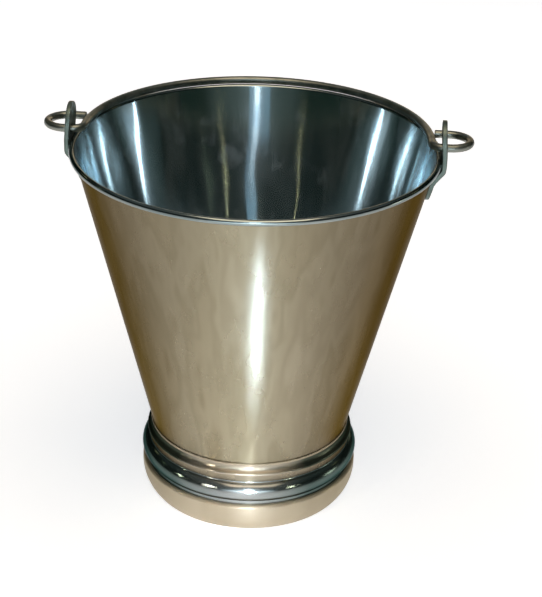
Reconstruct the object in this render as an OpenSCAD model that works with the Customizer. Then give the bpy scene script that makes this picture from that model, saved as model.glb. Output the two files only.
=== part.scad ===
// Kick bucket pail: tapered sheet pail on a spun foot, with a wire bail.
// Origin on the pail's axis at the floor, +Z up, ears on the X axis.
// The bail lies on the rear rim (+Y) and swings forward over the top.

/* [Pail] */
// Outer radius of the rolled rim
rim_r = 150; // [135:1:165]
// Height of the rim's top above the floor
rim_h = 312.5; // [290:0.5:330]
// Outer radius of the wall at the top of the collar
waist_r = 84.4; // [80:0.2:88]
// Height of the top of the collar
waist_h = 64; // [60:0.5:68]
// Thickness of the pail's sheet
sheet_t = 1; // [0.8:0.05:1.1]
// Radius of the wire inside the rolled rim
rim_wire_r = 1.5; // [1.3:0.05:1.8]
// Angle that the rim's roll turns through
roll_sweep = 294; // [240:2:296]

/* [Bottom] */
// Height of the bottom disc's edge above the floor
bottom_h = 34; // [30:0.5:40]
// Depth of the bottom disc's turned-down flange
flange_d = 9; // [6:0.5:12]
// Bend radius between disc and flange
flange_bend = 3; // [2:0.25:4]
// Rise of the disc at its centre
dome_h = 3; // [1:0.5:5]

/* [Collar] */
// Length of the lip that is welded to the wall
lip_len = 2; // [1.5:0.25:3]
// Radius of the hollow below the lip
cove_r = 4.6; // [4:0.1:5.2]
// Radius of the step's rounded upper edge
step_r = 1.8; // [1.6:0.05:2]
// Length of the step's flat side, which runs parallel to the wall
step_side = 6.8; // [6:0.1:7.6]
// Radius of the groove above the round moulding
groove_r = 1.2; // [1:0.05:1.5]
// Radius of the round moulding's section
bulge_r = 9; // [8.6:0.1:9.4]
// Radius of the hollow under the round moulding
tuck_r = 1.2; // [1:0.05:1.5]
// Depth of the skirt that the foot band is welded to
skirt_d = 15; // [10:0.5:18]

/* [Foot band] */
// Height of the band's turned-in top edge
band_top = 27; // [25:0.25:27.5]
// Width that the band stands out from the skirt
band_step = 3.55; // [3:0.05:4.3]
// Radius of the band's shoulder
shoulder_r = 2.5; // [2:0.1:3]
// Height where the band starts to curve in
band_turn = 20.5; // [18:0.25:22]
// Radius of the band's lower curve
band_curve = 30; // [26:0.5:34]
// Radius of the band's bottom edge
edge_r = 3; // [2.5:0.25:4]
// Width of the flat turned-in foot that stands on the floor
foot_w = 6.5; // [5:0.5:8]

/* [Ears] */
// Width of each ear strap
ear_w = 32; // [28:0.5:34]
// Thickness of each ear strap
ear_t = 3.6; // [2.5:0.1:4]
// Height of each ear above the hinge line
ear_reach = 22.6; // [21:0.2:24]
// Inward lean of the upper ear, in degrees
ear_lean = 4.5; // [4:0.5:10]
// Length of each ear below the hinge line
ear_drop = 44; // [41:0.5:48]
// Slack between strap and rolled rim
ear_slack = 0.2; // [0.1:0.05:0.4]
// Slack between bail wire and ear hole, on the radius
hole_slack = 1.1; // [0.8:0.1:1.5]

/* [Bail] */
// Radius of the bail wire
bail_r = 3.3; // [3:0.1:3.4]
// Height of the hinge line above the rim's top
hinge_up = 6.1; // [5.6:0.1:7]
// Width of each end eye, wire centre to wire centre
eye_w = 32.5; // [32:0.25:34]
// Distance from the ear to the start of the eye's round end
eye_stand = 1.75; // [1.5:0.25:3]
// Distance of the wire inside the rim where it meets the ear
lane_in = 9; // [8:0.25:10]
// Radius of the wire's bend into the ear
hook_bend = 9; // [8:0.25:10]
// Gap between the eye's cut end and the arch
tail_gap = 0.8; // [0.6:0.1:1.5]
// Gap between the resting bail and the rim
rest_gap = 0.3; // [0.2:0.05:0.4]
// Chamfer on the wire's cut ends
wire_chamfer = 0.6; // [0.3:0.1:0.8]

/* [Hidden] */
$fn = 96;
STEEL = [0.72, 0.70, 0.66];
POLISHED = [0.62, 0.64, 0.64];
DARK_WIRE = [0.45, 0.47, 0.46];

// Rolled rim and wall
roll_r = rim_wire_r + sheet_t;
roll_c = [rim_r - roll_r, rim_h - roll_r];
lean_rise = roll_c.y - waist_h;
lean_run = roll_c.x - waist_r;
// Angle of the wall: its outer line passes the waist and touches the rim wire
wall_a = atan2(lean_run, lean_rise) - asin(rim_wire_r / norm([lean_run, lean_rise]));
wall_foot = bottom_h - flange_d - sheet_t;
wall_k = tan(wall_a);
function wall_out(z) = waist_r + (z - waist_h) * wall_k;
function wall_in(z) = wall_out(z) - sheet_t / cos(wall_a);

function unit(v) = v / norm(v);
function right(v) = [v.y, -v.x];
function polar(c, r, a) = c + r * [cos(a), sin(a)];
function arc(c, r, a0, a1, n) = [for (i = [0:n]) polar(c, r, a0 + (a1 - a0) * i / n)];
// Rounded corner at b between a and c
function bend(a, b, c, r, n) =
    let (u = unit(a - b), v = unit(c - b), half = acos(u * v) / 2,
         o = b + unit(u + v) * r / sin(half),
         s = b + u * r / tan(half) - o, e = b + v * r / tan(half) - o,
         a0 = atan2(s.y, s.x), turn = (atan2(e.y, e.x) - a0 + 540) % 360 - 180)
    arc(o, r, a0, a0 + turn, n);
// Outline of a sheet of thickness t on the right of path p
function side(p, i) = let (m = len(p) - 1,
        a = right(unit(p[max(i, 1)] - p[max(i, 1) - 1])),
        b = right(unit(p[min(i, m - 1) + 1] - p[min(i, m - 1)])))
    (a + b) / (1 + a * b);
function strip(p, t) = concat(p, [for (i = [len(p) - 1:-1:0]) p[i] + t * side(p, i)]);
// Path without the repeated points where two arcs meet
function path(p) = [for (i = [0:len(p) - 1]) if (i == 0 || norm(p[i] - p[max(i, 1) - 1]) > 0.001) p[i]];
module spun(p, t)
    rotate_extrude() polygon([for (q = strip(path(p), t)) [max(q.x, 0), q.y]]);

// Collar section, from the lip down to the skirt
lip_t = sheet_t / cos(wall_a);
lip_top = [wall_out(waist_h) + lip_t, waist_h];
lip_low = [wall_out(waist_h - lip_len) + lip_t, waist_h - lip_len];
cove_end = 245;
cove_c = polar(lip_low, cove_r, -wall_a);
step_c = polar(cove_c, cove_r + step_r, cove_end);
step_low = polar(step_c, step_r, -wall_a) + step_side * [-sin(wall_a), -cos(wall_a)];
groove_c = polar(step_low, groove_r, -wall_a);
groove_end = 248;
bulge_c = polar(groove_c, groove_r + bulge_r, groove_end);
bulge_end = -52;
tuck_c = polar(bulge_c, bulge_r + tuck_r, bulge_end);
skirt_x = tuck_c.x - tuck_r;
collar_path = concat(
    [lip_top], arc(cove_c, cove_r, 180 - wall_a, cove_end, 14),
    arc(step_c, step_r, cove_end - 180, -wall_a, 10),
    arc(groove_c, groove_r, 180 - wall_a, groove_end, 10),
    arc(bulge_c, bulge_r, groove_end - 180, bulge_end, 30),
    arc(tuck_c, tuck_r, bulge_end + 180, 180, 8), [[skirt_x, tuck_c.y - skirt_d]]);

// Foot band section, from its top edge down to the floor
band_x = skirt_x + band_step;
curve_c = [band_x - band_curve, band_turn];
curve_end = -asin((band_turn - edge_r) / (band_curve - edge_r));
edge_c = polar(curve_c, band_curve - edge_r, curve_end);
foot_x = edge_c.x - foot_w;
band_path = concat(
    [[skirt_x, band_top]],
    arc([band_x - shoulder_r, band_top - shoulder_r], shoulder_r, 90, 0, 12),
    arc(curve_c, band_curve, 0, curve_end, 18),
    arc(edge_c, edge_r, curve_end, -90, 10), [[foot_x, 0]]);

// Bottom disc section, from its centre out and down the flange
disc_turn_z = bottom_h - flange_bend;
disc_touch_z = disc_turn_z - flange_bend * sin(wall_a);
disc_turn_x = wall_in(disc_touch_z) - flange_bend * cos(wall_a);
dome_r = (pow(disc_turn_x, 2) + pow(dome_h, 2)) / (2 * dome_h);
dome_a = asin(disc_turn_x / dome_r);
flange_low = bottom_h - flange_d;
disc_path = concat(
    arc([0, bottom_h + dome_h - dome_r], dome_r, 90, 90 - dome_a, 12),
    arc([disc_turn_x, disc_turn_z], flange_bend, 88, -wall_a, 12),
    [[wall_in(flange_low), flange_low]]);

// Ear section, from its lower end up the wall, round the rim and up to its top
hinge_z = rim_h + hinge_up;
ear_x = rim_r + ear_slack;
ear_low = hinge_z - ear_drop;
ear_top = hinge_z + ear_reach;
joggle_low = roll_c.y - roll_r - 13;
joggle_high = roll_c.y - roll_r - 3;
lean_z = rim_h + 1;
ear_bend = 5;
ear_pts = [[wall_out(ear_low - ear_w), ear_low - ear_w], [wall_out(joggle_low), joggle_low],
    [ear_x, joggle_high], [ear_x, lean_z],
    [ear_x - (ear_top + ear_w - lean_z) * tan(ear_lean), ear_top + ear_w]];
ear_path = concat([ear_pts[0]],
    bend(ear_pts[0], ear_pts[1], ear_pts[2], ear_bend, 8),
    bend(ear_pts[1], ear_pts[2], ear_pts[3], ear_bend, 8),
    bend(ear_pts[2], ear_pts[3], ear_pts[4], ear_bend, 3), [ear_pts[4]]);

// Bail path, in its own plane with the hinge line along X
lane_x = rim_r - lane_in;
arch_y = hook_bend;
hook_x = lane_x + hook_bend;
eye_x = ear_x + ear_t + eye_stand;
// End of the eye's tail, cut to the nearest tenth beside the arch
tail_x = ceil(10 * (sqrt(pow(lane_x, 2) - pow(eye_w - arch_y, 2)) + bail_r + tail_gap)) / 10;
// Droop at which the arch rests on the rolled rim
arch_reach = arch_y + lane_x;
rest_z = roll_c.y + sqrt(pow(bail_r + roll_r + rest_gap, 2) - pow(arch_reach - roll_c.x, 2));
droop = asin((hinge_z - rest_z) / arch_reach);

// Tapered wall with its top edge rolled outward round the rim wire
module body_shell()
    color(STEEL)
        spun(concat([[wall_in(wall_foot), wall_foot]],
                    arc(roll_c, roll_r, 180 - wall_a, 180 - wall_a - roll_sweep, 42)),
             sheet_t);

// Stiffening wire inside the rolled rim
module rim_wire()
    color(STEEL)
        rotate_extrude() translate(roll_c) circle(r = rim_wire_r);

// Slightly domed bottom with a flange turned down inside the wall
module bottom_disc()
    color(STEEL) spun(disc_path, sheet_t);

// Spun collar: lip, cove, step, round moulding and hidden skirt
module base_collar()
    color(POLISHED) spun(collar_path, sheet_t);

// Outer foot band with turned-in top and bottom edges
module foot_band()
    color(STEEL) spun(band_path, sheet_t);

// Ear strap: rounded ends, joggled round the rim, drilled for the bail
module ear_outline() {
    low_c = ear_low + ear_w / 2;
    high_c = ear_top - ear_w / 2;
    translate([0, low_c]) circle(d = ear_w);
    translate([0, high_c]) circle(d = ear_w);
    translate([-ear_w / 2, low_c]) square([ear_w, high_c - low_c]);
}

module ear()
    color(POLISHED)
        difference() {
            intersection() {
                spun(ear_path, ear_t);
                rotate([90, 0, 90]) linear_extrude(rim_r * 2) ear_outline();
            }
            translate([0, 0, hinge_z]) rotate([0, 90, 0])
                cylinder(h = rim_r * 2, r = bail_r + hole_slack);
        }

module ear_right() ear();
module ear_left() mirror([1, 0, 0]) ear();

// Bail: one bent wire, an arch with a closed eye through each ear
module wire_arc(c, r, a0, a1)
    translate(c) rotate([0, 0, a0]) rotate_extrude(angle = a1 - a0)
        translate([r, 0]) circle(r = bail_r);

module wire_x(x0, x1, y)
    translate([x0, y, 0]) rotate([0, 90, 0]) cylinder(h = x1 - x0, r = bail_r);

module bail_end() {
    wire_arc([hook_x, hook_bend], hook_bend, 180, 270);
    wire_x(hook_x, eye_x, 0);
    wire_arc([eye_x, eye_w / 2], eye_w / 2, -90, 90);
    wire_x(tail_x + wire_chamfer, eye_x, eye_w);
    translate([tail_x, eye_w, 0]) rotate([0, 90, 0])
        cylinder(h = wire_chamfer, r1 = bail_r - wire_chamfer, r2 = bail_r);
}

module bail()
    color(DARK_WIRE)
        translate([0, 0, hinge_z]) rotate([-droop, 0, 0]) {
            wire_arc([0, arch_y], lane_x, 0, 180);
            bail_end();
            mirror([1, 0, 0]) bail_end();
        }

body_shell();
rim_wire();
bottom_disc();
base_collar();
foot_band();
ear_left();
ear_right();
bail();
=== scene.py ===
"""Looks of the kick bucket pail: lathe-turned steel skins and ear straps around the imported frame."""
import math

import bpy
from mathutils import Matrix, Vector


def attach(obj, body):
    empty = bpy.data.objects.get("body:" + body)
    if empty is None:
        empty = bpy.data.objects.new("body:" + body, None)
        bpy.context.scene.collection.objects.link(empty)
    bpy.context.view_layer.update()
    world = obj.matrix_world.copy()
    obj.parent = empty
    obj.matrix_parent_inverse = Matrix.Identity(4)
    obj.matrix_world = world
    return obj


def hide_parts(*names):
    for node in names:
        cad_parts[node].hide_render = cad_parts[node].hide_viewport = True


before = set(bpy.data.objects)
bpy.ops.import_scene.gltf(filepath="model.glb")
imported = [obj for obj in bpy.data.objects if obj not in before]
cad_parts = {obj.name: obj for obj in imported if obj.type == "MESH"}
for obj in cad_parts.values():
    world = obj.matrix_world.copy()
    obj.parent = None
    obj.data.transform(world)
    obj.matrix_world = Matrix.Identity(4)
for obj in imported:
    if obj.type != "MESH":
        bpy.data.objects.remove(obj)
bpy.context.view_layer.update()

MM = 0.001
TURNS = 320     # facets round each skin
SNUG = 0.9999   # keeps the round skins inside the chords of the CAD mesh
MERGE = 1e-4    # section points closer than this are one point (mm)
EDGE_STEPS = 8  # facets over a rounded sheet edge


# ---------------------------------------------------------------- sizes (mm), as in the CAD model
RIM_R, RIM_H = 150.0, 312.5
WAIST_R, WAIST_H = 84.4, 64.0
SHEET = 1.0
HALF = SHEET / 2
RIM_WIRE_R = 1.5
ROLL_SWEEP = 294.0

ROLL_R = RIM_WIRE_R + SHEET
ROLL_C = (RIM_R - ROLL_R, RIM_H - ROLL_R)
ROLL_LOW = ROLL_C[1] - ROLL_R
LEAN_RUN, LEAN_RISE = ROLL_C[0] - WAIST_R, ROLL_C[1] - WAIST_H
WALL_A = math.degrees(math.atan2(LEAN_RUN, LEAN_RISE)
                      - math.asin(RIM_WIRE_R / math.hypot(LEAN_RUN, LEAN_RISE)))
WALL_K = math.tan(math.radians(WALL_A))
WALL_COS, WALL_SIN = math.cos(math.radians(WALL_A)), math.sin(math.radians(WALL_A))
UP = (WALL_SIN, WALL_COS)           # up along the wall
OUT_N = (WALL_COS, -WALL_SIN)       # square to the wall, outward
IN_N = (-WALL_COS, WALL_SIN)

BOTTOM_H, FLANGE_D = 34.0, 9.0
LIP_LEN, COVE_R, STEP_R, STEP_SIDE, GROOVE_R = 2.0, 4.6, 1.8, 6.8, 1.2
COVE_END, GROOVE_END, BULGE_END = 245, 248, -52  # degrees
BULGE_R, TUCK_R, SKIRT_D = 9.0, 1.2, 15.0
BAND_TOP, BAND_STEP, SHOULDER_R = 27.0, 3.55, 2.5
BAND_TURN, BAND_CURVE, EDGE_R, FOOT_W = 20.5, 30.0, 3.0, 6.5
BAIL_R, HOLE_SLACK, HINGE_UP = 3.3, 1.1, 6.1
HINGE_Z = RIM_H + HINGE_UP
HOLE_R = BAIL_R + HOLE_SLACK
EAR_W, EAR_T, EAR_REACH, EAR_LEAN = 32.0, 3.6, 22.6, 4.5
EAR_DROP, EAR_SLACK, EAR_BEND = 44.0, 0.2, 5.0
EAR_OFF_WALL, EAR_UPRIGHT = 13.0, 3.0  # how far under the roll the strap leaves the wall, and stands upright
EAR_LEAN_FROM = 1.0                    # height over the rim at which it leans in
EAR_SOFT = 0.6                         # rounding of its edges
EAR_LOW, EAR_TOP = HINGE_Z - EAR_DROP, HINGE_Z + EAR_REACH


def wall_out(z):
    return WAIST_R + (z - WAIST_H) * WALL_K


def wall_in(z):
    return wall_out(z) - SHEET / WALL_COS


def polar(c, r, a):
    a = math.radians(a)
    return (c[0] + r * math.cos(a), c[1] + r * math.sin(a))


def along(mid, normal):
    """The point half a sheet away from mid."""
    return (mid[0] + normal[0] * HALF, mid[1] + normal[1] * HALF)


# ---------------------------------------------------------------- section lines with exact normals
# A line point is (x, z, nx, nz). Arcs carry their own normals, so the lathe shades without facets.
def arc(c, r, a0, a1, n, side=1):
    """An arc of n facets; side is -1 where the steel lies outside it."""
    out = []
    for i in range(n + 1):
        a = math.radians(a0 + (a1 - a0) * i / n)
        out.append((c[0] + r * math.cos(a), c[1] + r * math.sin(a),
                    side * math.cos(a), side * math.sin(a)))
    return out


def line(p, q, n, normal):
    return [(p[0] + (q[0] - p[0]) * i / n, p[1] + (q[1] - p[1]) * i / n, *normal) for i in range(n + 1)]


def new_object(name, verts, faces, smooth=True):
    mesh = bpy.data.meshes.new(name)
    mesh.from_pydata(verts, [], faces)
    for p in mesh.polygons:
        p.use_smooth = smooth
    mesh.update()
    obj = bpy.data.objects.new(name, mesh)
    bpy.context.scene.collection.objects.link(obj)
    return obj


def lathe(name, outline):
    """Spins a closed section line into a smooth mesh with its exact normals."""
    pts = [outline[0]]
    for p in outline[1:]:
        if math.hypot(p[0] - pts[-1][0], p[1] - pts[-1][1]) > MERGE:
            pts.append(p)
    if math.hypot(pts[0][0] - pts[-1][0], pts[0][1] - pts[-1][1]) < MERGE:
        pts.pop()
    m = len(pts)
    verts, normals, faces = [], [], []
    for j in range(TURNS):
        a = 2 * math.pi * j / TURNS
        ca, sa = math.cos(a), math.sin(a)
        for (x, z, nx, nz) in pts:
            verts.append((x * ca * MM * SNUG, x * sa * MM * SNUG, z * MM))
            normals.append(Vector((nx * ca, nx * sa, nz)).normalized())
    area = sum(pts[i][0] * pts[(i + 1) % m][1] - pts[(i + 1) % m][0] * pts[i][1] for i in range(m))
    for j in range(TURNS):
        k = (j + 1) % TURNS
        for i in range(m):
            n = (i + 1) % m
            quad = (j * m + i, k * m + i, k * m + n, j * m + n)
            faces.append(quad if area > 0 else quad[::-1])
    obj = new_object(name, verts, faces)
    obj.data.normals_split_custom_set_from_vertices(normals)
    return obj


# ---------------------------------------------------------------- node materials
def material(name):
    mat = bpy.data.materials.new(name)
    mat.use_nodes = True
    mat.node_tree.nodes.clear()
    return mat, mat.node_tree


def feed(tree, socket, value):
    """Links an output to the socket, or writes a constant in it."""
    if isinstance(value, bpy.types.NodeSocket):
        tree.links.new(value, socket)
    else:
        socket.default_value = value


def add(tree, kind, inputs=None, **props):
    node = tree.nodes.new(kind)
    for k, v in props.items():
        setattr(node, k, v)
    for k, v in (inputs or {}).items():
        feed(tree, node.inputs[k], v)
    return node


def ramp(tree, fac, stops):
    node = add(tree, "ShaderNodeValToRGB", {"Fac": fac})
    node.color_ramp.interpolation = "EASE"
    el = node.color_ramp.elements
    while len(el) > 1:
        el.remove(el[-1])
    el[0].position, el[0].color = stops[0][0], (*stops[0][1], 1)
    for pos, col in stops[1:]:
        el.new(pos).color = (*col, 1)
    return node.outputs["Color"]


def math_node(tree, op, a, b=0.0, clamp=False):
    return add(tree, "ShaderNodeMath", {0: a, 1: b}, operation=op, use_clamp=clamp).outputs[0]


def squared(tree, value):
    return math_node(tree, "MULTIPLY", value, value)


def remap(tree, value, source, target, kind="LINEAR"):
    """Maps the source range to the target range and holds the value at both ends."""
    return add(tree, "ShaderNodeMapRange", {"Value": value, "From Min": source[0], "From Max": source[1],
                                            "To Min": target[0], "To Max": target[1]},
               interpolation_type=kind).outputs["Result"]


def pattern(tree, stretch, scale, detail, rough, distortion=0.0):
    """Noise over the object's own space, with each axis scaled by stretch first."""
    coord = add(tree, "ShaderNodeTexCoord").outputs["Object"]
    vector = add(tree, "ShaderNodeMapping", {"Vector": coord, "Scale": stretch}).outputs["Vector"]
    return add(tree, "ShaderNodeTexNoise", {"Vector": vector, "Scale": scale, "Detail": detail,
                                            "Roughness": rough, "Distortion": distortion}).outputs["Fac"]


def colour_mix(tree, factor, a, b, blend="MIX"):
    """Mixes two colours; the node's colour sockets come after its float and vector ones."""
    node = add(tree, "ShaderNodeMix", {0: factor}, data_type="RGBA", blend_type=blend)
    for index, value in ((6, a), (7, b)):
        feed(tree, node.inputs[index], value if isinstance(value, bpy.types.NodeSocket) else (*value, 1.0))
    return node.outputs[2]


def object_xy(tree):
    place = add(tree, "ShaderNodeSeparateXYZ", {"Vector": add(tree, "ShaderNodeTexCoord").outputs["Object"]})
    return place.outputs["X"], place.outputs["Y"]


def paint_flank_shade(tree, colour, reach, power, factor):
    """Painted shade: the tone darkens from the front and rear of the sheet towards the flanks under the ears,
    standing in for the darker reflections there.
    """
    x, y = object_xy(tree)
    radius = math_node(tree, "SQRT", math_node(tree, "ADD", squared(tree, x), squared(tree, y)))
    share = math_node(tree, "DIVIDE", math_node(tree, "ABSOLUTE", x),
                      math_node(tree, "MULTIPLY", radius, reach))
    shade_amount = math_node(tree, "POWER", math_node(tree, "MINIMUM", share, 1.0), power)
    return colour_mix(tree, shade_amount, colour, colour_mix(tree, 1.0, colour, factor, "MULTIPLY"))


def across_oval(tree):
    """cos of twice the angle round the axis: 1 under the ears, -1 at the front and rear."""
    x, y = object_xy(tree)
    xx, yy = squared(tree, x), squared(tree, y)
    return math_node(tree, "DIVIDE", math_node(tree, "SUBTRACT", xx, yy), math_node(tree, "ADD", xx, yy))


# Patterns of the steel, as (stretch of each axis, scale, detail, roughness, distortion)
SMEARS = ((1.0, 1.0, 0.35), 34.0, 4.0, 0.6)          # slow changes of the gloss
TURNING = ((2.0, 2.0, 900.0), 2.2, 2.0, 0.6)         # fine lines that go round
RUBS = ((7.0, 7.0, 160.0), 6.0, 5.0, 0.75, 0.4)      # short faint scratches
SLOW_WAVES = ((1.0, 1.0, 0.22), 26.0, 1.0, 0.4)      # what a drawn sheet keeps of its drawing
FILM = ((1.0, 1.0, 0.6), 30.0, 3.0, 0.6)             # patches of dried film
STREAKS = (3.0, 0.55)                                # detail and roughness of the colour streaks
LINE_DEPTH, RUB_DEPTH = 0.0003, 0.0004               # metres
SMEAR_RANGE = (0.3, 0.7)
CALM_RANGE = (0.70, 0.95)                            # where across_oval stills the waves, under the ears
WORN_RANGE, WORN_MORE = (0.80, 0.97), 0.12           # where it adds to the film, and how much
FILM_RANGE = (0.54, 0.67)
FILM_IOR, FILM_TINT = 2.6, (0.80, 0.92, 1.0, 1.0)
BRUSH_TURN = 0.25


def steel(name, tones, rough, aniso, streak=0.12, streak_scale=14.0, grain=0.02, rubs=0.015, waves=0.0,
          oval=0.0, tint=(1.0, 1.0, 1.0), painted_flank_shade=None, film=None, metal=1.0):
    """Turned steel: colour runs down the wall in soft streaks, fine turning lines go round, faint scratches.

    tones is a list of (position, linear colour); rough is (low, high); streak is how little the colour
    changes with height; waves and oval are the heights in metres of the sheet's slow waves and of its being
    out of round; painted_flank_shade is (reach, power, factor) for painted shade that darkens the tone
    at the flanks; film is (weight, roughness)."""
    mat, tree = material(name)
    colour = ramp(tree, pattern(tree, (1.0, 1.0, streak), streak_scale, *STREAKS), tones)
    # painted shade: the tone is darkened towards the flanks
    if painted_flank_shade:
        colour = paint_flank_shade(tree, colour, *painted_flank_shade)
    roughness = remap(tree, pattern(tree, *SMEARS), SMEAR_RANGE, rough)
    lines = add(tree, "ShaderNodeBump", {"Strength": grain, "Distance": LINE_DEPTH,
                                         "Height": pattern(tree, *TURNING)})
    marks = add(tree, "ShaderNodeBump", {"Strength": rubs, "Distance": RUB_DEPTH,
                                         "Height": pattern(tree, *RUBS), "Normal": lines.outputs["Normal"]})
    normal = marks.outputs["Normal"]
    if waves:
        height, calm = pattern(tree, *SLOW_WAVES), 1.0
        if oval:
            height = math_node(tree, "ADD", height,
                               math_node(tree, "MULTIPLY", across_oval(tree), oval / waves))
            calm = remap(tree, across_oval(tree), CALM_RANGE, (1.0, 0.0))
        normal = add(tree, "ShaderNodeBump", {"Strength": calm, "Distance": waves, "Height": height,
                                              "Normal": normal}).outputs["Normal"]
    tangent = add(tree, "ShaderNodeTangent", direction_type="RADIAL", axis="Z")
    bsdf = add(tree, "ShaderNodeBsdfPrincipled", {
        "Base Color": colour, "Metallic": metal, "Roughness": roughness, "Anisotropic": aniso,
        "Anisotropic Rotation": BRUSH_TURN, "Specular Tint": (*tint, 1.0), "Normal": normal,
        "Tangent": tangent.outputs["Tangent"]})
    if film:
        worn = remap(tree, across_oval(tree), WORN_RANGE, (0.0, WORN_MORE))
        patches = math_node(tree, "ADD", pattern(tree, *FILM), worn)
        feed(tree, bsdf.inputs["Coat Weight"], remap(tree, patches, FILM_RANGE, (0.0, film[0])))
        bsdf.inputs["Coat Roughness"].default_value = film[1]
        bsdf.inputs["Coat IOR"].default_value = FILM_IOR
        bsdf.inputs["Coat Tint"].default_value = FILM_TINT
    add(tree, "ShaderNodeOutputMaterial", {"Surface": bsdf.outputs["BSDF"]})
    return mat


EVEN, DARKER = (0.30, 0.50, 0.70), (0.30, 0.55, 0.75)  # where on the streaks three tones stand


def tone_stops(low, middle, high, at=EVEN):
    return list(zip(at, (low, middle, high)))


# Painted reflection and painted shade: the warm tan of these tones stands in for a warm floor mirrored in the
# wall, and the wall is painted darker towards its flanks; the streaks are the sheet's own.
satin = steel("satin_wall_steel",
              [(0.30, (0.300, 0.258, 0.170)), (0.40, (0.370, 0.326, 0.226)), (0.47, (0.340, 0.300, 0.206)),
               (0.53, (0.384, 0.342, 0.242)), (0.60, (0.355, 0.314, 0.221)), (0.72, (0.414, 0.370, 0.268))],
              (0.25, 0.30), 0.97, tint=(0.42, 0.36, 0.26), painted_flank_shade=(0.94, 1.5, (0.34, 0.29, 0.28)),
              rubs=0.003, grain=0.01, streak=0.035, streak_scale=26.0)
mirror = steel("mirror_wall_steel",
               tone_stops((0.630, 0.710, 0.730), (0.690, 0.760, 0.780), (0.750, 0.800, 0.820)),
               (0.09, 0.13), 0.95, waves=0.0012, grain=0.01, oval=0.0014, film=(0.85, 0.44))
# Painted shade: the rolled rim is a darker copy of the wall's steel, standing in for the dark it mirrors, and
# it is painted darker still towards its flanks.
rim_steel = steel("rolled_rim_steel",
                  tone_stops((0.240, 0.290, 0.295), (0.310, 0.355, 0.355), (0.390, 0.425, 0.415)),
                  (0.14, 0.20), 0.60, waves=0.0002, grain=0.01, painted_flank_shade=(1.0, 1.5, (0.55, 0.60, 0.60)))
# Painted reflection and painted shade: the cove's tan tones stand in for the wall mirrored in it, and it is
# painted much darker towards its flanks; its higher roughness is its own finish.
cove_steel = steel("polished_cove_steel",
                   tone_stops((0.400, 0.350, 0.270), (0.480, 0.420, 0.335), (0.560, 0.490, 0.400)),
                   (0.30, 0.36), 0.60, waves=0.0003, grain=0.01, tint=(0.25, 0.28, 0.28),
                   painted_flank_shade=(0.62, 2.2, (0.12, 0.16, 0.15)), metal=0.93)
# Painted shade: the moulding is painted darker towards its flanks.
moulding = steel("polished_moulding_steel",
                 tone_stops((0.320, 0.335, 0.335), (0.400, 0.410, 0.405), (0.500, 0.500, 0.490)),
                 (0.16, 0.22), 0.75, waves=0.0005, grain=0.01, tint=(0.25, 0.28, 0.28),
                 painted_flank_shade=(0.62, 1.0, (0.20, 0.27, 0.25)), metal=0.93)
# Painted shade: the step is painted darker towards its flanks.
step_steel = steel("satin_step_steel",
                   tone_stops((0.340, 0.290, 0.210), (0.410, 0.355, 0.265), (0.480, 0.420, 0.325)),
                   (0.24, 0.30), 0.90, tint=(0.4, 0.36, 0.30), painted_flank_shade=(0.9, 1.0, (0.45, 0.42, 0.38)))
# Painted shade: the band and lip are painted darker towards their flanks.
band_steel = steel("satin_band_steel",
                   tone_stops((0.440, 0.365, 0.265), (0.520, 0.440, 0.330), (0.600, 0.515, 0.400)),
                   (0.36, 0.44), 0.80, tint=(0.7, 0.65, 0.55),
                   painted_flank_shade=(1.0, 2.0, (0.62, 0.60, 0.52)), metal=0.60)
strap_steel = steel("strap_steel",
                    tone_stops((0.110, 0.150, 0.135), (0.150, 0.190, 0.170), (0.210, 0.240, 0.215), DARKER),
                    (0.38, 0.50), 0.0, streak=0.6, streak_scale=60.0, rubs=0.06, metal=0.8)
wire_steel = steel("wire_steel",
                   tone_stops((0.160, 0.175, 0.155), (0.260, 0.275, 0.245), (0.400, 0.400, 0.365), DARKER),
                   (0.30, 0.40), 0.0, streak=1.0, streak_scale=70.0, rubs=0.06)
base_steel = steel("bottom_steel",
                   tone_stops((0.300, 0.370, 0.375), (0.380, 0.440, 0.445), (0.460, 0.510, 0.510)),
                   (0.22, 0.30), 0.0, streak=1.0, streak_scale=20.0)


def dress(obj, mats, node):
    """Gives a skin its materials and puts it in the place of its CAD node on the pail."""
    for m in mats:
        obj.data.materials.append(m)
    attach(obj, "pail")
    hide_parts(node)


# ---------------------------------------------------------------- pail wall and rolled rim
roll_start = 180 - WALL_A
mid_r = ROLL_R - HALF
roll_end = roll_start - ROLL_SWEEP + math.degrees(HALF / mid_r)
wall_foot = BOTTOM_H - FLANGE_D - SHEET
foot_mid = (wall_in(wall_foot) - IN_N[0] * HALF, wall_foot - IN_N[1] * HALF + HALF)

section = line(along(foot_mid, IN_N), polar(ROLL_C, ROLL_R, roll_start), 24, IN_N)
section += arc(ROLL_C, ROLL_R, roll_start, roll_end, 56)
section += arc(polar(ROLL_C, mid_r, roll_end), HALF, roll_end, roll_end - 180, EDGE_STEPS)
section += arc(ROLL_C, RIM_WIRE_R, roll_end, roll_start, 40, -1)
section += line(polar(ROLL_C, RIM_WIRE_R, roll_start), along(foot_mid, OUT_N), 24, OUT_N)
section += arc(foot_mid, HALF, -WALL_A, -WALL_A - 180, EDGE_STEPS)
wall = lathe("pail_wall", section)
INSIDE, ROLLED = 1, 2  # places in the wall's list of materials
dress(wall, [satin, mirror, rim_steel], "body_shell")
for p in wall.data.polygons:
    radius, height = math.hypot(p.center.x, p.center.y) / MM, p.center.z / MM
    # the roll takes the darker rim steel, which paints shade on it
    if height > ROLL_LOW and math.hypot(radius - ROLL_C[0], height - ROLL_C[1]) > mid_r:
        p.material_index = ROLLED
    elif radius < wall_out(height) - HALF / WALL_COS:
        p.material_index = INSIDE


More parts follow.
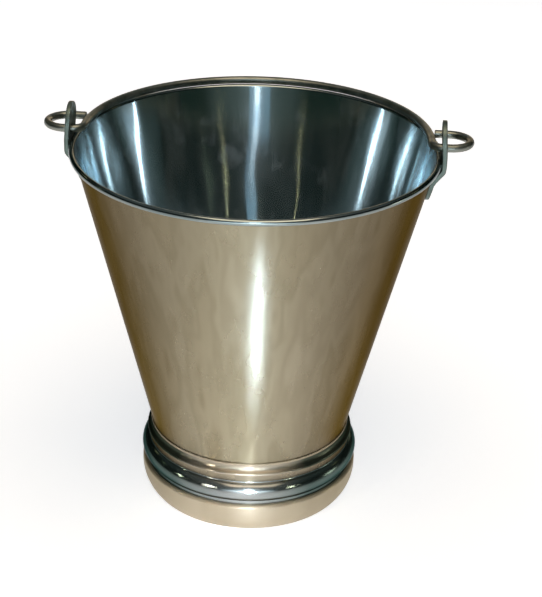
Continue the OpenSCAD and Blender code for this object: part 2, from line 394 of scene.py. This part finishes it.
# ---------------------------------------------------------------- collar
lip_t = SHEET / WALL_COS
lip_top = (wall_out(WAIST_H) + lip_t, WAIST_H)
lip_low = (wall_out(WAIST_H - LIP_LEN) + lip_t, WAIST_H - LIP_LEN)
lip_mid = (lip_top[0] - OUT_N[0] * HALF - UP[0] * HALF, lip_top[1] - OUT_N[1] * HALF - UP[1] * HALF)
cove_c = polar(lip_low, COVE_R, -WALL_A)
step_c = polar(cove_c, COVE_R + STEP_R, COVE_END)
step_top = polar(step_c, STEP_R, -WALL_A)
step_low = (step_top[0] - STEP_SIDE * UP[0], step_top[1] - STEP_SIDE * UP[1])
groove_c = polar(step_low, GROOVE_R, -WALL_A)
bulge_c = polar(groove_c, GROOVE_R + BULGE_R, GROOVE_END)
tuck_c = polar(bulge_c, BULGE_R + TUCK_R, BULGE_END)
skirt_x = tuck_c[0] - TUCK_R
skirt_low = tuck_c[1] - SKIRT_D

collar = arc(cove_c, COVE_R, 180 - WALL_A, COVE_END, 20, -1)
collar += arc(step_c, STEP_R, COVE_END - 180, -WALL_A, 20)
collar += arc(groove_c, GROOVE_R, 180 - WALL_A, GROOVE_END, 20, -1)
collar += arc(bulge_c, BULGE_R, GROOVE_END - 180, BULGE_END, 48)
collar += arc(tuck_c, TUCK_R, BULGE_END + 180, 180, 12, -1)
collar += line((skirt_x, tuck_c[1]), (skirt_x, skirt_low + HALF), 3, (1, 0))
collar += arc((skirt_x - HALF, skirt_low + HALF), HALF, 0, -180, EDGE_STEPS)
collar += line((skirt_x - SHEET, skirt_low + HALF), (skirt_x - SHEET, tuck_c[1]), 3, (-1, 0))
collar += arc(tuck_c, TUCK_R + SHEET, 180, BULGE_END + 180, 12)
collar += arc(bulge_c, BULGE_R - SHEET, BULGE_END, GROOVE_END - 180, 40, -1)
collar += arc(groove_c, GROOVE_R + SHEET, GROOVE_END, 180 - WALL_A, 16)
collar += arc(step_c, STEP_R - SHEET, -WALL_A, COVE_END - 180, 16, -1)
collar += arc(cove_c, COVE_R + SHEET, COVE_END, 180 - WALL_A, 16)
collar += arc(lip_mid, HALF, 180 - WALL_A, -WALL_A, EDGE_STEPS)
STEP, COVE, LIP = 1, 2, 3  # places in the collar's list of materials
collar_obj = lathe("foot_moulding", collar)
dress(collar_obj, [moulding, step_steel, cove_steel, band_steel], "base_collar")
for p in collar_obj.data.polygons:
    height = p.center.z / MM
    if step_low[1] < height < step_top[1]:
        p.material_index = STEP
    # the cove gets its own tan steel, a painted reflection of the wall above it
    elif step_top[1] <= height < lip_low[1]:
        p.material_index = COVE
    elif height >= lip_low[1]:
        p.material_index = LIP

# ---------------------------------------------------------------- foot band
band_x = skirt_x + BAND_STEP
curve_c = (band_x - BAND_CURVE, BAND_TURN)
curve_end = -math.degrees(math.asin((BAND_TURN - EDGE_R) / (BAND_CURVE - EDGE_R)))
edge_c = polar(curve_c, BAND_CURVE - EDGE_R, curve_end)
foot_x = edge_c[0] - FOOT_W
shoulder_c = (band_x - SHOULDER_R, BAND_TOP - SHOULDER_R)
band = line((skirt_x, BAND_TOP), (shoulder_c[0], BAND_TOP), 1, (0, 1))
band += arc(shoulder_c, SHOULDER_R, 90, 0, 20)
band += arc(curve_c, BAND_CURVE, 0, curve_end, 36)
band += arc(edge_c, EDGE_R, curve_end, -90, 16)
band += line((edge_c[0], 0), (foot_x + HALF, 0), 2, (0, -1))
band += arc((foot_x + HALF, HALF), HALF, -90, -270, EDGE_STEPS)
band += line((foot_x + HALF, SHEET), (edge_c[0], SHEET), 2, (0, 1))
band += arc(edge_c, EDGE_R - SHEET, -90, curve_end, 16, -1)
band += arc(curve_c, BAND_CURVE - SHEET, curve_end, 0, 36, -1)
band += arc(shoulder_c, SHOULDER_R - SHEET, 0, 90, 14, -1)
band += line((shoulder_c[0], BAND_TOP - SHEET), (skirt_x, BAND_TOP - SHEET), 1, (0, -1))
dress(lathe("foot_ring_band", band), [band_steel], "foot_band")

# ---------------------------------------------------------------- ear straps
EAR_RAYS, EAR_RINGS = 120, 16      # facets round the hole, and from the hole to the outline
OUTSIDE, HALVINGS = 90.0, 40       # search for the outline along each ray
BEND_STEPS = 8

ear_x = RIM_R + EAR_SLACK
under_z, lean_z, far_z = EAR_LOW - EAR_W, RIM_H + EAR_LEAN_FROM, EAR_TOP + EAR_W
ear_pts = [(wall_out(under_z), under_z), (wall_out(ROLL_LOW - EAR_OFF_WALL), ROLL_LOW - EAR_OFF_WALL),
           (ear_x, ROLL_LOW - EAR_UPRIGHT), (ear_x, lean_z),
           (ear_x - (far_z - lean_z) * math.tan(math.radians(EAR_LEAN)), far_z)]


def fillet(a, b, c, r, n):
    """Samples of a rounded corner at b, with the path's right-hand normals."""
    u = Vector((a[0] - b[0], a[1] - b[1])).normalized()
    v = Vector((c[0] - b[0], c[1] - b[1])).normalized()
    half_angle = math.acos(max(-1, min(1, u.dot(v)))) / 2
    o = Vector(b) + (u + v).normalized() * r / math.sin(half_angle)
    s = Vector(b) + u * r / math.tan(half_angle) - o
    e = Vector(b) + v * r / math.tan(half_angle) - o
    a0 = math.degrees(math.atan2(s.y, s.x))
    turn = (math.degrees(math.atan2(e.y, e.x)) - a0 + 540) % 360 - 180
    return arc((o.x, o.y), r, a0, a0 + turn, n, 1 if turn > 0 else -1)


ear_line = []
for i in (1, 2, 3):
    ear_line += fillet(ear_pts[i - 1], ear_pts[i], ear_pts[i + 1], EAR_BEND, BEND_STEPS)
first = Vector((ear_line[0][0] - ear_pts[0][0], ear_line[0][1] - ear_pts[0][1])).normalized()
last = Vector((ear_pts[4][0] - ear_line[-1][0], ear_pts[4][1] - ear_line[-1][1])).normalized()
ear_line = [(*ear_pts[0], first.y, -first.x)] + ear_line + [(*ear_pts[4], last.y, -last.x)]


def ear_section(z):
    """(x, nx, nz) of the strap's inner face at height z, with the normal toward its outer face."""
    for p, q in zip(ear_line, ear_line[1:]):
        if p[1] <= z <= q[1]:
            t = (z - p[1]) / max(q[1] - p[1], 1e-9)
            n = Vector((p[2] + (q[2] - p[2]) * t, p[3] + (q[3] - p[3]) * t)).normalized()
            return p[0] + (q[0] - p[0]) * t, n.x, n.y
    raise ValueError(z)


def ear_outline(dy, dz):
    """Distance from the hinge line to the strap's outline, a slot with round ends, along (dy, dz)."""
    low, high = EAR_LOW + EAR_W / 2, EAR_TOP - EAR_W / 2
    near, far = HOLE_R, OUTSIDE
    for _ in range(HALVINGS):
        mid = (near + far) / 2
        y, z = dy * mid, HINGE_Z + dz * mid
        if math.hypot(y, z - min(max(z, low), high)) < EAR_W / 2:
            near = mid
        else:
            far = mid
    return near


def ear_loop():
    """The strap's cross-section as (share of the way out, inset, depth from the inner face)."""
    quarter = [math.radians(a) for a in (0, 30, 60, 90)]
    inner = [i / EAR_RINGS for i in range(1, EAR_RINGS)]
    loop = [(1, -EAR_SOFT * (1 - math.cos(a)), EAR_T - EAR_SOFT * (1 - math.sin(a))) for a in quarter]
    loop += [(1 - t, 0, EAR_T) for t in inner]
    loop += [(0, EAR_SOFT * (1 - math.sin(a)), EAR_T - EAR_SOFT * (1 - math.cos(a))) for a in quarter]
    loop += [(0, EAR_SOFT * (1 - math.cos(a)), EAR_SOFT * (1 - math.sin(a))) for a in quarter]
    loop += [(t, 0, 0) for t in inner]
    loop += [(1, -EAR_SOFT * (1 - math.sin(a)), EAR_SOFT * (1 - math.cos(a))) for a in quarter]
    return loop


def build_ear(name, sign):
    verts, faces = [], []
    loop = ear_loop()
    m = len(loop)
    for k in range(EAR_RAYS):
        a = 2 * math.pi * k / EAR_RAYS
        dy, dz = math.cos(a), math.sin(a)
        far = ear_outline(dy, dz)
        for (t, inset, depth) in loop:
            if t in (0, 1):
                s = (far if t else HOLE_R) + inset
            else:
                s = HOLE_R + EAR_SOFT + (far - HOLE_R - 2 * EAR_SOFT) * t
            y, z = dy * s, HINGE_Z + dz * s
            x0, nx, nz = ear_section(z)
            for _ in range(3):  # the outline is cut straight through, so both faces keep its height
                x0, nx, nz = ear_section(z - nz * depth)
            r = x0 + nx * depth
            verts.append((sign * math.sqrt(r * r - y * y) * MM, y * MM, z * MM))
    for k in range(EAR_RAYS):
        n = (k + 1) % EAR_RAYS
        for i in range(m):
            j = (i + 1) % m
            quad = (k * m + i, n * m + i, n * m + j, k * m + j)
            faces.append(quad if sign > 0 else quad[::-1])
    return new_object(name, verts, faces)


dress(build_ear("ear_strap_right", 1), [strap_steel], "ear_right")
dress(build_ear("ear_strap_left", -1), [strap_steel], "ear_left")

# ---------------------------------------------------------------- nodes that keep their CAD shape
for node, mat in (("bail", wire_steel), ("rim_wire", wire_steel), ("bottom_disc", base_steel)):
    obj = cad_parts[node]
    obj.data.materials.clear()
    obj.data.materials.append(mat)

# ---------------------------------------------------------------- floor
FLOOR_HALF = 7.0
corners = [(x * FLOOR_HALF, y * FLOOR_HALF, 0) for x, y in ((-1, -1), (1, -1), (1, 1), (-1, 1))]
floor = new_object("floor", corners, [(0, 1, 2, 3)], smooth=False)
fmat, ft = material("pale_floor")
path = add(ft, "ShaderNodeLightPath").outputs
place = add(ft, "ShaderNodeTexCoord").outputs["Object"]
away = add(ft, "ShaderNodeVectorMath", {0: place}, operation="LENGTH").outputs["Value"]
# the steel mirrors a floor that is bright at the foot and falls off; the camera sees one that stays white
in_steel = remap(ft, away, (0.13, 0.36), (0.97, 0.48), "SMOOTHSTEP")
in_camera = remap(ft, away, (0.15, 0.60), (0.605, 0.72), "SMOOTHSTEP")
mirrored = math_node(ft, "ADD", path["Is Glossy Ray"], path["Is Transmission Ray"], True)
seen = math_node(ft, "ADD", math_node(ft, "MULTIPLY", path["Is Camera Ray"], in_camera),
                 math_node(ft, "MULTIPLY", mirrored, in_steel))
matte = add(ft, "ShaderNodeBsdfDiffuse", {"Color": (0.90, 0.90, 0.90, 1)})
glow = add(ft, "ShaderNodeEmission", {"Color": (0.975, 1.0, 1.06, 1), "Strength": seen})
both = add(ft, "ShaderNodeAddShader", {0: matte.outputs[0], 1: glow.outputs[0]})
add(ft, "ShaderNodeOutputMaterial", {"Surface": both.outputs[0]})
floor.data.materials.append(fmat)

# ---------------------------------------------------------------- world: a dark room, lit in front
GLOW_WAY = (0.077, -0.880, 0.469)  # the middle of the bright patch, as seen from the pail
world = bpy.data.worlds.new("room")
bpy.context.scene.world = world
world.use_nodes = True
wt = world.node_tree
wt.nodes.clear()
way = add(wt, "ShaderNodeTexCoord").outputs["Generated"]
rise = add(wt, "ShaderNodeSeparateXYZ", {"Vector": way}).outputs["Z"]
sky = ramp(wt, math_node(wt, "ADD", math_node(wt, "MULTIPLY", rise, 0.5), 0.5),
           [(0.0, (0.20, 0.20, 0.18)), (0.5, (0.010, 0.021, 0.016)), (0.785, (0.003, 0.009, 0.008)),
            (0.84, (0.11, 0.13, 0.13)), (1.0, (0.20, 0.19, 0.17))])
facing = add(wt, "ShaderNodeVectorMath", {0: way, 1: GLOW_WAY}, operation="DOT_PRODUCT").outputs["Value"]
patch = ramp(wt, facing, [(0.78, (0, 0, 0)), (0.90, (0.040, 0.052, 0.050)), (0.955, (0.085, 0.110, 0.110)),
                          (0.985, (0.56, 0.65, 0.70)), (1.0, (0.90, 0.98, 1.00))])
bg = add(wt, "ShaderNodeBackground", {"Color": colour_mix(wt, 1.0, sky, patch, "ADD"), "Strength": 1.0})
add(wt, "ShaderNodeOutputWorld", {"Surface": bg.outputs[0]})


# ---------------------------------------------------------------- lamps
def lamp(name, azimuth, elevation, distance, size, radiance, colour, aim=(0, 0, 0.2), spread=180):
    """Area lamp by where it stands, with the azimuth from the front towards +X.

    radiance is what a mirror shows of it."""
    data = bpy.data.lights.new(name, "AREA")
    data.shape = "RECTANGLE"
    data.size, data.size_y = size
    data.energy = radiance * math.pi * size[0] * size[1]
    data.color = colour
    data.spread = math.radians(spread)
    obj = bpy.data.objects.new(name, data)
    a, e = math.radians(azimuth), math.radians(elevation)
    aim = Vector(aim)
    way_out = Vector((math.sin(a) * math.cos(e), -math.cos(a) * math.cos(e), math.sin(e)))
    obj.location = aim + distance * way_out
    obj.rotation_euler = (aim - obj.location).to_track_quat("-Z", "Y").to_euler()
    bpy.context.scene.collection.objects.link(obj)
    obj.visible_camera = False


lamp("key", 5, 24, 1.7, (0.14, 0.40), 13, (0.76, 0.90, 1.0), aim=(0, 0, 0.25))
lamp("key_low", 3, 11, 1.7, (0.50, 0.14), 0.4, (0.35, 0.70, 1.0), aim=(0, 0, 0.28))
lamp("overhead", 10, 75, 2.2, (1.6, 1.6), 2.4, (1.0, 0.80, 0.58))
# narrow beams draw the foot of the tall highlight on the wall and the spots on the moulding
lamp("front_low", 9.5, -6, 0.75, (0.034, 0.08), 10.5, (0.50, 0.69, 1.0), aim=(0, -0.11, 0.200), spread=12)
lamp("foot_spot", 7, 4, 0.6, (0.03, 0.08), 2.2, (0.80, 0.90, 1.0), aim=(0, -0.10, 0.03), spread=14)
lamp("side_low", 95, 4, 0.8, (0.35, 0.20), 0.20, (1.0, 0.95, 0.80), aim=(0.09, 0, 0.16), spread=24)
lamp("front_wide", 5, 3, 0.9, (0.9, 0.20), 0.8, (0.80, 0.92, 1.0), aim=(0, -0.05, 0.16), spread=60)
# the inside of the wall mirrors these: its middle streak, its rear rim and its warm lines
lamp("back_window", 188, 33, 1.7, (0.46, 0.16), 0.9, (0.48, 0.78, 1.0), aim=(0, 0, 0.25))
lamp("back_low", 178, 12, 1.6, (1.8, 0.30), 1.3, (1.0, 0.78, 0.54), aim=(0, 0, 0.30))
lamp("warm_right", 118, 30, 1.7, (0.03, 0.12), 9, (1.0, 0.84, 0.45))
lamp("warm_left", -124, 30, 1.7, (0.03, 0.12), 9, (1.0, 0.84, 0.45))
lamp("warm_far_left", -98, 24, 1.7, (0.10, 0.06), 4, (0.90, 1.0, 0.62))
lamp("foot_left", -36, 22, 0.8, (0.13, 0.03), 0.8, (1.0, 0.92, 0.80), aim=(-0.02, -0.09, 0.03), spread=13)
lamp("foot_far_left", -70, 22, 0.8, (0.03, 0.03), 0.7, (1.0, 0.94, 0.70), aim=(-0.05, -0.07, 0.03), spread=12)
lamp("foot_right", 50, 22, 0.8, (0.09, 0.03), 0.35, (1.0, 0.98, 0.74), aim=(0.04, -0.08, 0.03), spread=12)


# ---------------------------------------------------------------- camera, fitted to the rim and foot
IMAGE = (542, 597)
SENSOR = 36.0
FOCAL_PX = 1637.256
CAM_BACK, CAM_UP = 1.230784, 0.794661                           # metres
PITCH, PAN, ROLL, TURN = 26.72562, -0.73267, 1.66657, -4.52831  # degrees
cam_data = bpy.data.cameras.new("camera")
cam_data.sensor_width = SENSOR
cam_data.sensor_fit = "AUTO"
cam_data.lens = FOCAL_PX * SENSOR / max(IMAGE)
cam = bpy.data.objects.new("camera", cam_data)
bpy.context.scene.collection.objects.link(cam)
cam.matrix_world = (
    Matrix.Rotation(math.radians(-TURN), 4, "Z")
    @ Matrix.Translation((0, -CAM_BACK, CAM_UP))
    @ Matrix.Rotation(math.radians(PAN), 4, "Z")
    @ Matrix.Rotation(math.radians(90 - PITCH), 4, "X")
    @ Matrix.Rotation(math.radians(ROLL), 4, "Z"))

BOUNCES = 24  # the polished wall shows its ends by many reflections
scene = bpy.context.scene
scene.camera = cam
scene.view_settings.view_transform = "Standard"
scene.cycles.max_bounces = BOUNCES
scene.cycles.glossy_bounces = BOUNCES

bpy.context.view_layer.update()
